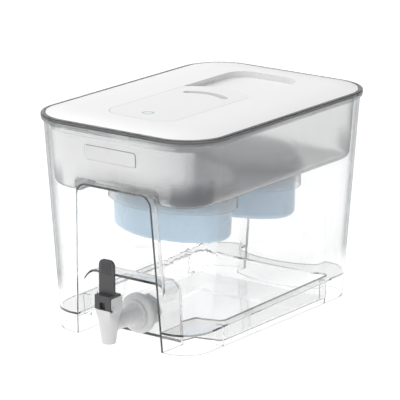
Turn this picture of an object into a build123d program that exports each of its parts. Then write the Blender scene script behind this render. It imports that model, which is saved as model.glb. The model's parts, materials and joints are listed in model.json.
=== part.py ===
from build123d import *
import os
from math import atan2, cos, hypot, radians, sin

# Gravity water filter dispenser: a clear tapered tank with a tap in a front niche, a smoky
# reservoir hung in its rim with two oval filter cartridges, and a white lid with a sliding
# fill cover. Millimetres, +Z up, origin at the middle of the flat underside that the tank
# stands on, +X to the right seen from the front, -Y towards the tap.

# ---- fits and clearances ----
RUN_FIT = 0.05        # radial play of a pin or stem in its bore
PLAY = 0.3            # play between pieces that move past each other
SLIP = 0.5            # looser play at the lid and the sliding cover

# ---- tank ----
TANK_H = 246.0        # top edge of the wall, where the reservoir's rim sits
BASE_W = 203.6        # outside width at the stand plane
BASE_L = 320.8
BASE_R = 35.0
TOP_W = 242.0         # outside width at the top edge
TOP_L = 349.8
TOP_R = 51.0
WALL = 2.6
LIP_OUT = 2.4         # moulded lip round the top edge
LIP_H = 2.6
LIP_GAP_W = 60.0      # gap in the lip for a fingertip, at the front
LEDGE_FRONT = 24.0    # floor height at the front and back ends, so that it drains to the tap
LEDGE_BACK = 29.5
LEDGE_T = 2.6
WELL_SIDE = 11.8      # sunk middle of the floor, from the foot's sides
WELL_FRONT_GAP = 72.4
WELL_BACK_GAP = 38.4
WELL_DRAW = 8.0       # how far the middle of each end wall stands in from its corners
WELL_R = 8.0
WELL_FLOOR_T = 2.6
WELL_EDGE_R = 5.0     # round edge of its underside
GUSSET_T = 2.0        # ribs from the well to the skirt
GUSSET_GAP = 60.4     # from the foot's ends
PLATE_W = 71.0        # plain raised plate on the front wall
PLATE_H = 16.4
PLATE_DROP = 27.2     # its middle, below the top edge
PLATE_T = 0.8
PLATE_R = 3.0

# ---- front alcove and tap niche ----
ALCOVE_DROP = 68.0    # its top, below the tank's top edge
ALCOVE_BASE_W = 118.0
ALCOVE_TOP_W = 101.0
ALCOVE_DEPTH = 17.0
ALCOVE_R = 12.0
NICHE_TOP = 72.0
NICHE_R = 13.0
NICHE_DEPTH = 41.8
CORNER_R = 6.0        # inner corners of the alcove, niche and scoop
FRONT_EDGE_R = 2.0

# ---- scooped back wall ----
SCOOP_DROP = 86.0     # its top, below the tank's top edge
SCOOP_BASE_W = 115.0
SCOOP_TOP_W = 104.0
SCOOP_SIDE = 16.0     # depth beside the corners
SCOOP_MID = 30.0      # depth in the middle
SCOOP_R = 9.0

# ---- reservoir ----
RES_INSET = 7.0       # its outside from the tank's outside
RES_WALL = 2.6
RES_DEPTH = 78.0      # its underside, below the tank's top edge
RES_BOTTOM_R = 10.0
NOTCH_W = 116.0       # step in its underside over the alcove
NOTCH_GAP = 4.4       # room over the alcove's roof
NOTCH_DEPTH = 38.0
NOTCH_R = 7.0
RIM_OUT = 2.9
RIM_T = 2.2           # flange on the tank's edge
RIM_H = 4.0
RIM_IN = 2.3          # inner face of the upstand, from the tank's outside
COLLAR_H = 24.0       # how far each well hangs below the underside
COLLAR_T = 2.4

# ---- filter cartridges, with heights from the underside of the reservoir ----
OVAL_A = 76.0         # half width of the cup, along X
OVAL_B = 47.0
OVAL_END_R = 32.0     # radius of its end arcs
FRONT_Y = -61.0
REAR_Y = 63.0
CUP_DROP = 60.0
CUP_SINK = 4.0        # cup's rim
CUP_WALL = 1.8
CUP_DRAFT = 1.5
CUP_R = 7.0
WELL_PLAY = 3.4       # gap round the cup in its well, closed by the seal
SEAL_T = 4.0
SEAL_DROP = 10.0
CAP_FLANGE = 6.5      # how far the cap's flange reaches past the cup
CAP_FLANGE_T = 2.4
CAP_RISE = 20.0
CAP_R = 7.0
CAP_WALL = 2.0
CAP_SLOTS = 14
CAP_SLOT_W = 5.0
CAP_SLOT_H = 6.0
CAP_SLOT_LIFT = 4.0   # slots' lower edge over the flange
DRAIN_SLOTS = 12
DRAIN_W = 3.0
DRAIN_L = 12.0
DRAIN_RING = 0.6      # their ring, as a share of the oval
MESH_T = 1.2
MEDIA_SINK = 9.0      # top of the media, below the cup's rim
PULL_H = 9.0
PULL_W = 46.0
PULL_T = 4.0
PULL_DEPTH = 10.0

# ---- lid and fill cover ----
LID_PLAY = 0.5        # between the lid and the reservoir's rim
LID_RISE = 8.5        # top of the lid over the tank's edge
LID_WALL = 2.4
DOME_RUN = 36.0       # width of the curved border
TUB_W = 95.0          # sunk track of the cover
TUB_END_GAP = 43.9    # from the tank's ends
TUB_R = 24.0
TUB_DEPTH = 7.3
TUB_FLOOR_T = 2.2
TUB_WALL = 4.0
FILL_W = 72.0
FILL_L = 46.0
FILL_INSET = 9.0      # fill opening from the track's front end
FILL_R = 8.0
PLUG_H = 6.0          # locating skirt inside the reservoir
PLUG_T = 2.0
COVER_SIDE_L = 153.0  # cover's sides, from the track's front end
COVER_BOW = 20.0
COVER_SHELL = 2.0
COVER_BASE_T = 1.5
SLIDE_TRAVEL = 60.0
TONGUE_L = 60.0
TONGUE_OUT = 1.4
TONGUE_H = 1.6
TONGUE_LIFT = 1.2     # over the track's floor
GROOVE_HALF = 26.0    # finger groove: half its middle line
GROOVE_BOW = 8.0
GROOVE_W = 10.0
GROOVE_DEPTH = 4.0    # at its upright rear side; its floor ramps up to the front
GROOVE_FLOOR_T = 1.2
GROOVE_BACK = 20.0    # its ends, from the end of the cover's sides
BUTTON_INSET = 26.0   # from the track's front end
BUTTON_R = 6.8
BUTTON_FLANGE = 1.6
BUTTON_FLANGE_T = 0.8
BUTTON_POST_R = 3.0
BUTTON_TRAVEL = 0.6   # gap between the post and the board
BOARD_W = 26.0
BOARD_L = 52.0
BOARD_T = 1.0
CELL_R = 8.0
CELL_T = 1.6
CELL_SET_BACK = 24.0

# ---- tap, with heights from its own axis ----
FLANGE_R = 23.5
FLANGE_LIFT = 2.3     # flange over the stand plane
FLANGE_T = 7.5
FLANGE_EDGE_R = 5.0
STEP_R = 16.8
STEP_T = 3.0
CONE_R = 13.5
CONE_L = 22.0
BARREL_R = 9.5
SPOUT_REACH = 59.4    # upright axis of the spout, in front of the niche wall
SPOUT_DROP = 21.3
SPOUT_RISE = 14.6
SPOUT_LOW_R = 7.9
SPOUT_HIGH_R = 11.5   # where its round part runs into the square head
SHOULDER_H = 9.4      # of the tap body, from round to square
SHOULDER_IN = 0.8     # its square end, in from the full size of the head
SPOUT_WALL = 1.8
SPOUT_EDGE_R = 0.6
OUTLET_R = 4.2
SEAT_DROP = 11.4
CHAMBER_R = 8.5
SHANK_R = 8.0
SHANK_L = 18.6        # inside the niche wall's outer face
CHANNEL_R = 4.5
WASHER_T = 4.0
OUTER_WASHER_R = 21.0
INNER_WASHER_R = 18.0
NUT_R = 18.5
NUT_T = 8.0
NUT_SIDES = 8
BONNET_T = 2.5
BONNET_PLUG = 5.0
HEAD_W = 22.0
HEAD_FRONT_L = 9.0    # cheeks in front of and behind the spout's axis
HEAD_BACK_L = 11.7
HEAD_R = 1.5
CHEEK_T = 2.2
CHEEK_H = 16.2
HEAD_LIP_T = 0.8      # front of the head, proud of the lever's plate
PIVOT_L = 5.5         # pivot in front of the spout's axis
KNUCKLE_R = 5.8
LEVER_PIN_R = 1.5
LEVER_W = 21.8
LEVER_PLATE_T = 2.0
LEVER_TOP_T = 2.5
LEVER_SKIRT = 3.3     # how far the front plate hangs below the pivot
LEVER_BACK_GAP = 3.5  # its top ends short of the cheeks
PADDLE_W = 21.6
PADDLE_T = 2.8
PADDLE_FRONT_L = 4.0  # its front face, ahead of the spout's axis
PADDLE_H = 42.5
PADDLE_R = 7.0
GRIP_RIBS = 6
GRIP_PITCH = 2.4
GRIP_R = 0.5
GRIP_W = 13.0
GRIP_DROP = 4.0       # first rib, below the paddle's top
WINDOW_W = 8.0
WINDOW_H = 7.6
WINDOW_RISE = 1.2     # its middle, over the pivot
WINDOW_DEPTH = 4.0
STEM_SLOT_W = 6.4
STEM_R = 2.4
STEM_RISE = 13.5      # top of the stem over the bonnet's plate
STEM_LIFT = 2.6
STEM_PIN_R = 1.2
STEM_PIN_L = 15.0
STEM_PIN_RISE = 3.7   # over the pivot
LEVER_SWING = 28.0
COLLAR_R = 6.4
COLLAR_DROP = 10.0    # top of the stem's collar, below the chamber's roof
COLLAR_STEM_T = 1.6
STEM_TAIL = 6.4       # stem below the collar's top, inside the seat cup
SEAT_LIP_H = 2.4
SEAT_WAIST = 1.0
SPRING_R = 4.8
SPRING_WIRE = 0.9
SPRING_TURNS = 5

# ---- worked out from the sizes above ----
FAR = 2 * TOP_L       # past the whole object, for cutters
OVER = 1.0            # how far a cutter runs past a face
RIM_TOP = TANK_H + RIM_H
LID_SEAT = TANK_H + RIM_T
LID_TOP = TANK_H + LID_RISE
TUB_FLOOR = LID_TOP - TUB_DEPTH
TUB_HALF_L = TOP_L / 2 - TUB_END_GAP
TUB_FRONT = -TUB_HALF_L
COVER_SIDE_END = TUB_FRONT + COVER_SIDE_L
BUTTON_Y = TUB_FRONT + BUTTON_INSET
BOARD_TOP = TUB_FLOOR + PLAY + COVER_BASE_T + BOARD_T
ALCOVE_TOP = TANK_H - ALCOVE_DROP
SCOOP_TOP = TANK_H - SCOOP_DROP
NICHE_BACK = NICHE_DEPTH - BASE_L / 2
NICHE_INSIDE = NICHE_BACK + WALL
WELL_HALF_W = BASE_W / 2 - WELL_SIDE
WELL_FRONT = WELL_FRONT_GAP - BASE_L / 2
WELL_BACK = BASE_L / 2 - WELL_BACK_GAP
RES_BOTTOM = TANK_H - RES_DEPTH
COLLAR_BOTTOM = RES_BOTTOM - COLLAR_H
CAP_SEAT = RES_BOTTOM + RES_WALL
CUP_BOTTOM = RES_BOTTOM - CUP_DROP
CUP_TOP = RES_BOTTOM - CUP_SINK
CAP_TOP = RES_BOTTOM + CAP_RISE
SEAL_Z = RES_BOTTOM - SEAL_DROP
MEDIA_TOP = CUP_TOP - MEDIA_SINK
TAP_Z = FLANGE_R + FLANGE_LIFT
FLANGE_BACK = NICHE_BACK - WASHER_T
FLANGE_FRONT = FLANGE_BACK - FLANGE_T
SHANK_END = NICHE_BACK + SHANK_L
SPOUT_Y = NICHE_BACK - SPOUT_REACH
SPOUT_BOTTOM = TAP_Z - SPOUT_DROP
SPOUT_TOP = TAP_Z + SPOUT_RISE
SHOULDER_LOW = SPOUT_TOP - SHOULDER_H
SPOUT_SLOPE = (SPOUT_HIGH_R - SPOUT_LOW_R) / (SHOULDER_LOW - SPOUT_BOTTOM)
SEAT_Z = TAP_Z - SEAT_DROP
SEAT_R = SPOUT_LOW_R + SPOUT_SLOPE * (SEAT_Z - SPOUT_BOTTOM) - SPOUT_WALL
CHAMBER_ROOF = SPOUT_TOP - BONNET_PLUG
COLLAR_Z = CHAMBER_ROOF - COLLAR_DROP
BONNET_TOP = SPOUT_TOP + BONNET_T
CHEEK_TOP = BONNET_TOP + CHEEK_H
HEAD_FRONT = SPOUT_Y - HEAD_FRONT_L
HEAD_BACK = SPOUT_Y + HEAD_BACK_L
PLATE_IN = HEAD_FRONT - PLAY
PLATE_OUT = PLATE_IN - LEVER_PLATE_T
HALF_HUB = HEAD_W / 2 - CHEEK_T - PLAY
PIVOT_Y = SPOUT_Y - PIVOT_L
PIVOT_Z = BONNET_TOP + PLAY + KNUCKLE_R
PLATE_REACH = hypot(PIVOT_Y - PLATE_OUT, LEVER_SKIRT) + PLAY
HEAD_LIP_TOP = PIVOT_Z - LEVER_SKIRT - PLAY
LEVER_TOP_Z = CHEEK_TOP + PLAY
PADDLE_Y = SPOUT_Y - PADDLE_FRONT_L
PADDLE_TOP = LEVER_TOP_Z + PADDLE_H
STEM_TOP_Z = BONNET_TOP + STEM_RISE
STEM_PIN_Z = PIVOT_Z + STEM_PIN_RISE


def half_width(z):
    """Half the tank's outside width at height z."""
    return (BASE_W + (TOP_W - BASE_W) * z / TANK_H) / 2


def half_length(z):
    """Half the tank's outside length at height z."""
    return (BASE_L + (TOP_L - BASE_L) * z / TANK_H) / 2


def corner(z):
    """Corner radius of the tank's outside at height z."""
    return BASE_R + (TOP_R - BASE_R) * z / TANK_H


def outline(z, inset=0.0):
    """The tank's plan at height z, moved in by inset."""
    width = 2 * (half_width(z) - inset)
    length = 2 * (half_length(z) - inset)
    return Plane.XY.offset(z) * RectangleRounded(width, length, corner(z) - inset)


def tapered(low, high, inset=0.0):
    """Solid between two heights that follows the tank's taper."""
    return loft([outline(low, inset), outline(high, inset)], ruled=True)


def rim_block(low, high, inset):
    """Upright solid with the plan of the tank's top edge, moved in by inset."""
    plan = RectangleRounded(TOP_W - 2 * inset, TOP_L - 2 * inset, TOP_R - inset)
    return extrude(Plane.XY.offset(low) * plan, high - low)


def side_prism(points, half):
    """Outline of (y, z) points, extruded to half on each side of the middle plane."""
    face = make_face(Plane.YZ * Polyline(*points, close=True))
    return extrude(face, half, both=True)


def ledge_height(y):
    """Height of the sloping floor ledge at y."""
    share = (y + BASE_L / 2) / BASE_L
    return LEDGE_FRONT + (LEDGE_BACK - LEDGE_FRONT) * share


def above_ledge():
    """Everything over the sloping ledge."""
    low, high = ledge_height(-FAR), ledge_height(FAR)
    return side_prism([(-FAR, low), (FAR, high), (FAR, 2 * FAR), (-FAR, 2 * FAR)], FAR)


def below_ledge(drop):
    """Everything under the ledge, from drop below its top."""
    low, high = ledge_height(-FAR) - drop, ledge_height(FAR) - drop
    return side_prism([(-FAR, -FAR), (FAR, -FAR), (FAR, high), (-FAR, low)], FAR)


def oval(z, grow=0.0):
    """Plan of a cartridge at height z, larger all round by grow: four arcs that meet smoothly."""
    run = OVAL_A - OVAL_END_R
    rise = OVAL_B - OVAL_END_R
    drop = (run ** 2 - rise ** 2) / (2 * rise)
    lean = atan2(drop, run)
    x = run + (OVAL_END_R + grow) * cos(lean)
    y = (OVAL_END_R + grow) * sin(lean)
    end, side = OVAL_A + grow, OVAL_B + grow
    arcs = [
        ThreePointArc((x, -y), (end, 0), (x, y)),
        ThreePointArc((x, y), (0, side), (-x, y)),
        ThreePointArc((-x, y), (-end, 0), (-x, -y)),
        ThreePointArc((-x, -y), (0, -side), (x, -y)),
    ]
    return Plane.XY.offset(z) * make_face(arcs)


def oval_block(low, high, grow=0.0):
    """Upright oval solid."""
    return extrude(oval(low, grow), high - low)


def upright(x, y, low, high, radius):
    """Upright round solid."""
    return Pos(x, y, (low + high) / 2) * Cylinder(radius, high - low)


def across(y, z, radius, half):
    """Round solid along X, to half on each side of the middle plane."""
    return Pos(0, y, z) * Rot(0, 90, 0) * Cylinder(radius, 2 * half)


def forward(front, back, radius, z=TAP_Z):
    """Round solid along Y from front to back, on the tap's axis."""
    return Pos(0, (front + back) / 2, z) * Rot(90, 0, 0) * Cylinder(radius, back - front)


def block(x0, x1, y0, y1, z0, z1):
    """Box between two corners."""
    size = Box(x1 - x0, y1 - y0, z1 - z0)
    return Pos((x0 + x1) / 2, (y0 + y1) / 2, (z0 + z1) / 2) * size


# ---- tank ----
def alcove(grow):
    """Shallow alcove of the front wall, larger all round by grow."""
    low = -WALL - FRONT_EDGE_R
    slope = (ALCOVE_TOP_W - ALCOVE_BASE_W) / ALCOVE_TOP / 2
    foot = ALCOVE_BASE_W / 2 + slope * low + grow
    head = ALCOVE_TOP_W / 2 + slope * grow + grow
    top = ALCOVE_TOP + grow
    gate = Plane.XZ * Polygon((-foot, low), (foot, low), (head, top), (-head, top), align=None)
    gate = fillet(gate.vertices().group_by(Axis.Z)[-1], ALCOVE_R + grow)
    back = ALCOVE_DEPTH + grow
    zone = side_prism([(-FAR, low), (back - half_length(low), low),
                       (back - half_length(TANK_H), TANK_H), (-FAR, TANK_H)], FAR)
    room = extrude(gate, FAR) & zone
    rear = room.faces().filter_by(GeomType.PLANE).sort_by(Axis.Y)[-1]
    edges = [e for e in rear.edges() if e.center().Z > low + OVER]
    return fillet(edges, CORNER_R + grow)


def niche(grow):
    """Deeper, lower room for the tap behind the foot of the alcove."""
    low = -WALL - FRONT_EDGE_R
    slope = (ALCOVE_TOP_W - ALCOVE_BASE_W) / ALCOVE_TOP / 2
    top = NICHE_TOP + grow
    foot = ALCOVE_BASE_W / 2 + slope * low + grow
    head = ALCOVE_BASE_W / 2 + slope * top + grow
    gate = Polygon((-foot, low), (foot, low), (head, top), (-head, top), align=None)
    gate = fillet(gate.vertices().group_by(Axis.Y)[-1], NICHE_R + grow)
    back = NICHE_BACK + grow
    room = extrude(Plane.XZ.offset(-back) * gate, -back - BASE_L / 2 + FAR)
    rear = room.faces().sort_by(Axis.Y)[-1]
    edges = [e for e in rear.edges() if e.center().Z > low + OVER]
    return fillet(edges, CORNER_R + grow)


def scoop_plan(z, grow):
    """Plan of the scooped back wall at height z."""
    share = z / SCOOP_TOP
    half = (SCOOP_BASE_W + (SCOOP_TOP_W - SCOOP_BASE_W) * share) / 2 + grow
    side = half_length(z) - SCOOP_SIDE - grow
    middle = half_length(z) - SCOOP_MID - grow
    wires = [
        Line((-half, FAR), (-half, side)),
        ThreePointArc((-half, side), (0, middle), (half, side)),
        Line((half, side), (half, FAR)),
        Line((half, FAR), (-half, FAR)),
    ]
    plan = make_face(wires)
    plan = fillet(plan.vertices().group_by(Axis.Y)[0], SCOOP_R + grow)
    return Plane.XY.offset(z) * plan


def scoop(grow):
    """Scooped hollow of the back wall, larger all round by grow."""
    top = SCOOP_TOP + grow
    room = loft([scoop_plan(-WALL, grow), scoop_plan(top, grow)], ruled=True)
    roof = room.faces().sort_by(Axis.Z)[-1]
    edges = [e for e in roof.edges() if e.center().Y < FAR - OVER and e.length < FAR / 2]
    return fillet(edges, CORNER_R + grow)


def well_plan(grow):
    """Plan of the sunk floor, larger all round by grow."""
    half = WELL_HALF_W + grow
    front, back = WELL_FRONT - grow, WELL_BACK + grow
    mouth = ALCOVE_BASE_W / 2 - CORNER_R + grow
    deep = NICHE_BACK - WALL
    points = [
        (half, front), (mouth + CORNER_R, front - WELL_DRAW), (mouth, deep),
        (-mouth, deep), (-mouth - CORNER_R, front - WELL_DRAW), (-half, front),
        (-half, back), (-mouth, back - WELL_DRAW), (mouth, back - WELL_DRAW), (half, back),
    ]
    plan = make_face(Polyline(*points, close=True))
    return fillet(plan.vertices().filter_by(lambda v: abs(v.X) > half - OVER), WELL_R + grow)


def well(grow):
    """Block of the sunk floor with its round lower edge."""
    body = extrude(well_plan(grow), LEDGE_BACK + LEDGE_T)
    return fillet(body.faces().sort_by(Axis.Z)[0].edges(), WELL_EDGE_R - WALL + grow)


def alcove_rim(body):
    """Edges where the front wall turns into the alcove."""
    half = ALCOVE_BASE_W / 2 + WALL
    edges = body.edges().filter_by(lambda e: abs(e.center().X) < half)
    edges = edges.filter_by(lambda e: WALL < e.center().Z < ALCOVE_TOP + WALL)
    return edges.filter_by(lambda e: abs(e.center().Y + half_length(e.center().Z)) < PLAY)


def make_tank():
    hollow_out = alcove(0) + niche(0) + scoop(0)
    walls_in = alcove(WALL) + niche(WALL) + scoop(WALL)
    well_block = well(WALL)
    inside = tapered(0, TANK_H + WALL, WALL) & above_ledge()
    inside += Pos(0, 0, WELL_FLOOR_T) * well(0)
    under = tapered(-WALL, LEDGE_BACK + LEDGE_T, WALL) & below_ledge(LEDGE_T)
    under -= well_block
    for y in (GUSSET_GAP - BASE_L / 2, BASE_L / 2 - GUSSET_GAP):
        rib = block(-FAR, FAR, y - GUSSET_T / 2, y + GUSSET_T / 2, -WALL, LEDGE_BACK)
        under -= rib - block(-WELL_HALF_W, WELL_HALF_W, -FAR, FAR, -WALL, LEDGE_BACK)
    body = tapered(0, TANK_H) - alcove(0)
    body = fillet(alcove_rim(body), FRONT_EDGE_R)
    body += rim_block(TANK_H - LIP_H, TANK_H, -LIP_OUT)
    body -= block(-LIP_GAP_W / 2, LIP_GAP_W / 2, -TOP_L / 2 - LIP_OUT - OVER, -TOP_L / 2,
                  TANK_H - LIP_H, TANK_H)
    body = body - (inside - walls_in) - (under - walls_in) - hollow_out
    return body - forward(NICHE_BACK - OVER, NICHE_INSIDE + OVER, SHANK_R + PLAY)


def front_plate():
    """Plain raised plate on the front wall, over the alcove."""
    half = PLATE_W / 2
    middle = TANK_H - PLATE_DROP
    z0, z1 = middle - PLATE_H / 2, middle + PLATE_H / 2
    gate = Plane.XZ * Pos(0, middle) * RectangleRounded(PLATE_W, PLATE_H, PLATE_R)
    low, high = -half_length(z0), -half_length(z1)
    slab = side_prism([(low - PLATE_T, z0), (low + WALL / 2, z0), (high + WALL / 2, z1),
                       (high - PLATE_T, z1)], half)
    return extrude(gate, FAR) & slab


# ---- reservoir ----
def res_notch(grow):
    """Step in the reservoir's underside, over the alcove."""
    half = NOTCH_W / 2 + grow
    back = NOTCH_DEPTH - half_length(ALCOVE_TOP) + grow
    roof = ALCOVE_TOP + WALL + NOTCH_GAP + grow
    room = block(-half, half, -FAR, back, RES_BOTTOM - WALL, roof)
    edges = room.edges().filter_by(Axis.Z).group_by(Axis.Y)[-1]
    edges += room.edges().filter_by(Axis.Y).group_by(Axis.Z)[-1]
    return fillet(edges, NOTCH_R + grow)


def res_hull(inset, bottom, radius, top):
    """Tapered body of the reservoir with its rounded bottom edge."""
    body = tapered(bottom, top, inset)
    return fillet(body.faces().sort_by(Axis.Z)[0].edges(), radius)


def make_reservoir():
    shell_in = RES_INSET + RES_WALL
    outer = res_hull(RES_INSET, RES_BOTTOM, RES_BOTTOM_R, LID_SEAT)
    inner = res_hull(shell_in, CAP_SEAT, RES_BOTTOM_R - RES_WALL, LID_SEAT + OVER)
    rim = rim_block(TANK_H, RIM_TOP, -RIM_OUT) - rim_block(LID_SEAT, RIM_TOP + OVER, RIM_IN)
    top_edges = rim.faces().sort_by(Axis.Z)[-1].outer_wire().edges()
    rim = fillet(top_edges, RIM_T / 2)
    body = outer + rim - (inner - res_notch(RES_WALL)) - res_notch(0)
    for y in (FRONT_Y, REAR_Y):
        body += Pos(0, y, 0) * oval_block(COLLAR_BOTTOM, CAP_SEAT, WELL_PLAY + COLLAR_T)
    for y in (FRONT_Y, REAR_Y):
        body -= Pos(0, y, 0) * oval_block(COLLAR_BOTTOM - OVER, CAP_SEAT + OVER, WELL_PLAY)
    return body


# ---- filter cartridge, built round its own axis ----
def cup_block(bottom, top, inset, radius):
    """Drafted oval block with a rounded bottom edge."""
    drop = (top - bottom) / (CUP_TOP - CUP_BOTTOM) * CUP_DRAFT
    body = loft([oval(bottom, -inset - drop), oval(top, -inset)], ruled=True)
    return fillet(body.faces().sort_by(Axis.Z)[0].edges(), radius)


def make_cup():
    body = cup_block(CUP_BOTTOM, CUP_TOP, 0, CUP_R)
    floor = CUP_BOTTOM + CUP_WALL
    body -= cup_block(floor, CUP_TOP + OVER, CUP_WALL, CUP_R - CUP_WALL)
    for i in range(DRAIN_SLOTS):
        turn = 360 * (i + 0.5) / DRAIN_SLOTS
        x = DRAIN_RING * OVAL_A * cos(radians(turn))
        y = DRAIN_RING * OVAL_B * sin(radians(turn))
        slot = Plane.XY.offset(CUP_BOTTOM) * Pos(x, y) * SlotOverall(DRAIN_L, DRAIN_W)
        body -= extrude(slot, CUP_WALL)
    return body


def make_mesh(z):
    """Thin retaining screen lying on z."""
    return oval_block(z, z + MESH_T, -CUP_R - CUP_DRAFT - PLAY)


def make_media():
    low = CUP_BOTTOM + CUP_WALL + MESH_T
    body = oval_block(low, MEDIA_TOP, -CUP_WALL - CUP_DRAFT - PLAY)
    return chamfer(body.faces().sort_by(Axis.Z)[0].edges(), CUP_R - CUP_WALL)


def make_cap():
    neck = CUP_WALL + PLAY
    flange = oval_block(CAP_SEAT, CAP_SEAT + CAP_FLANGE_T, CAP_FLANGE)
    dome = oval_block(CAP_SEAT, CAP_TOP, -PLAY)
    dome = fillet(dome.faces().sort_by(Axis.Z)[-1].edges(), CAP_R)
    plug = oval_block(CUP_TOP - SEAL_T, CAP_SEAT, -neck)
    collar = oval_block(CUP_TOP, CAP_SEAT, 0)
    body = flange + dome + plug + collar
    hollow = oval_block(CUP_TOP - SEAL_T - OVER, CAP_TOP - CAP_WALL, -neck - CAP_WALL)
    hollow = fillet(hollow.faces().sort_by(Axis.Z)[-1].edges(), CAP_R - CAP_WALL)
    body -= hollow
    for i in range(CAP_SLOTS):
        turn = 360 * (i + 0.5) / CAP_SLOTS
        z = CAP_SEAT + CAP_FLANGE_T + CAP_SLOT_LIFT + CAP_SLOT_H / 2
        reach = Rot(0, 0, turn) * Pos(OVAL_A, 0, z) * Box(2 * OVAL_A, CAP_SLOT_W, CAP_SLOT_H)
        body -= reach - oval_block(CUP_TOP, CAP_TOP, -neck - CAP_WALL - OVER)
    return body


def make_pull():
    """Fixed loop on top of the cap to lift the cartridge out by."""
    outer = Plane.XZ * Pos(0, CAP_TOP) * SlotOverall(PULL_W, 2 * PULL_H)
    inner = Plane.XZ * Pos(0, CAP_TOP) * SlotOverall(PULL_W - 2 * PULL_T, 2 * (PULL_H - PULL_T))
    loop = extrude(outer - inner, PULL_DEPTH / 2, both=True)
    return loop & block(-FAR, FAR, -FAR, FAR, CAP_TOP, FAR)


def make_seal():
    """Soft ring between the cup and its collar."""
    ring = oval_block(SEAL_Z, SEAL_Z + SEAL_T, WELL_PLAY - PLAY)
    return ring - oval_block(SEAL_Z - OVER, SEAL_Z + SEAL_T + OVER, PLAY)


# ---- lid ----
def dome(base, drop, inset):
    """Crowned block: its border rises in a long arc to a flat middle."""
    plan = RectangleRounded(TOP_W - 2 * inset, TOP_L - 2 * inset, TOP_R - inset)
    body = extrude(Plane.XY.offset(base) * plan, LID_TOP - drop - base)
    path = (Plane.XY.offset(RIM_TOP - drop) * plan).wire()
    rise = LID_TOP - RIM_TOP
    radius = (DOME_RUN ** 2 + rise ** 2) / (2 * rise)
    half_run = DOME_RUN / 2
    half_rise = rise - radius + (radius ** 2 - half_run ** 2) ** 0.5
    inward = (path % 0).cross(Vector(0, 0, 1))
    if inward.dot(path @ 0) > 0:
        inward = -inward
    local = Plane(origin=path @ 0, x_dir=inward, z_dir=inward.cross(Vector(0, 0, 1)))
    arc = ThreePointArc((0, 0), (half_run, half_rise), (DOME_RUN, rise))
    frame = Polyline((DOME_RUN, rise), (DOME_RUN, rise + OVER), (-OVER, rise + OVER),
                     (-OVER, 0), (0, 0))
    waste = local * make_face([arc, frame])
    return body - sweep(waste, path)


def tub(low, high, grow):
    """Upright block with the plan of the cover's track."""
    plan = RectangleRounded(TUB_W + 2 * grow, 2 * (TUB_HALF_L + grow), TUB_R + grow)
    return extrude(Plane.XY.offset(low) * plan, high - low)


def tongue(grow, travel):
    """Tongues of the cover; the track's grooves are these grown by the play and the travel."""
    half = TUB_W / 2 - SLIP + TONGUE_OUT + grow
    back = COVER_SIDE_END + travel + grow
    low = TUB_FLOOR + TONGUE_LIFT - grow
    high = TUB_FLOOR + TONGUE_LIFT + TONGUE_H + grow
    return block(-half, half, COVER_SIDE_END - TONGUE_L - grow, back, low, high)


def make_lid():
    outer = RIM_IN + LID_PLAY
    body = dome(LID_SEAT, 0, outer) - dome(LID_SEAT - OVER, LID_WALL, outer + LID_WALL)
    body += tub(TUB_FLOOR - TUB_FLOOR_T, LID_TOP - LID_WALL / 2, TUB_WALL)
    body -= tub(TUB_FLOOR, LID_TOP + OVER, 0)
    skirt_in = RES_INSET + RES_WALL + LID_PLAY
    skirt = rim_block(LID_SEAT - PLUG_H, LID_SEAT + PLUG_T, skirt_in)
    skirt -= rim_block(LID_SEAT - PLUG_H - OVER, LID_SEAT + PLUG_T + OVER, skirt_in + PLUG_T)
    body += skirt
    hole = Pos(0, TUB_FRONT + FILL_INSET + FILL_L / 2) * RectangleRounded(FILL_W, FILL_L, FILL_R)
    body -= extrude(Plane.XY.offset(TUB_FLOOR - TUB_FLOOR_T) * hole, TUB_FLOOR_T)
    return body - tongue(PLAY, SLIDE_TRAVEL)


def cover_block(low, high, inset):
    """Upright block with the cover's plan: round front corners and a bowed rear edge."""
    half = TUB_W / 2 - SLIP - inset
    side = COVER_SIDE_END - inset
    middle = side + COVER_BOW
    plan = make_face([
        Line((-half, -FAR), (-half, side)),
        ThreePointArc((-half, side), (0, middle), (half, side)),
        Line((half, side), (half, -FAR)),
        Line((half, -FAR), (-half, -FAR)),
    ])
    front = RectangleRounded(2 * half, 2 * (TUB_HALF_L - SLIP - inset), TUB_R - SLIP - inset)
    return extrude(Plane.XY.offset(low) * (plan & front), high - low)


def groove_block(low, high, grow):
    """Bowed slot with round ends, larger all round by grow."""
    y = COVER_SIDE_END - GROOVE_BACK
    middle_line = ThreePointArc((-GROOVE_HALF, y), (0, y + GROOVE_BOW), (GROOVE_HALF, y))
    plan = SlotArc(middle_line, GROOVE_W + 2 * grow)
    return extrude(Plane.XY.offset(low) * plan, high - low)


def groove_ramp():
    """Everything over the groove's floor, which rises from the rear side to the front one."""
    radius = (GROOVE_HALF ** 2 + GROOVE_BOW ** 2) / (2 * GROOVE_BOW)
    front, rear = radius - GROOVE_W / 2, radius + GROOVE_W / 2
    low, high = LID_TOP - GROOVE_DEPTH, LID_TOP + OVER
    points = [(0, LID_TOP), (front, LID_TOP), (rear, low), (rear + OVER, low), (rear + OVER, high),
              (0, high)]
    turned = revolve(make_face(Plane.XZ * Polyline(*points, close=True)), Axis.Z)
    return Pos(0, COVER_SIDE_END - GROOVE_BACK + GROOVE_BOW - radius, 0) * turned


def make_cover():
    base = TUB_FLOOR + PLAY
    roof = LID_TOP - COVER_SHELL
    body = cover_block(base, LID_TOP, 0) - cover_block(base - OVER, roof, COVER_SHELL)
    body += groove_block(LID_TOP - GROOVE_DEPTH - GROOVE_FLOOR_T, roof, COVER_SHELL)
    body -= groove_block(LID_TOP - GROOVE_DEPTH, LID_TOP + OVER, 0) & groove_ramp()
    body -= upright(0, BUTTON_Y, roof - OVER, LID_TOP + OVER, BUTTON_R + PLAY)
    return body + (tongue(0, 0) - cover_block(0, FAR, COVER_SHELL))


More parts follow.
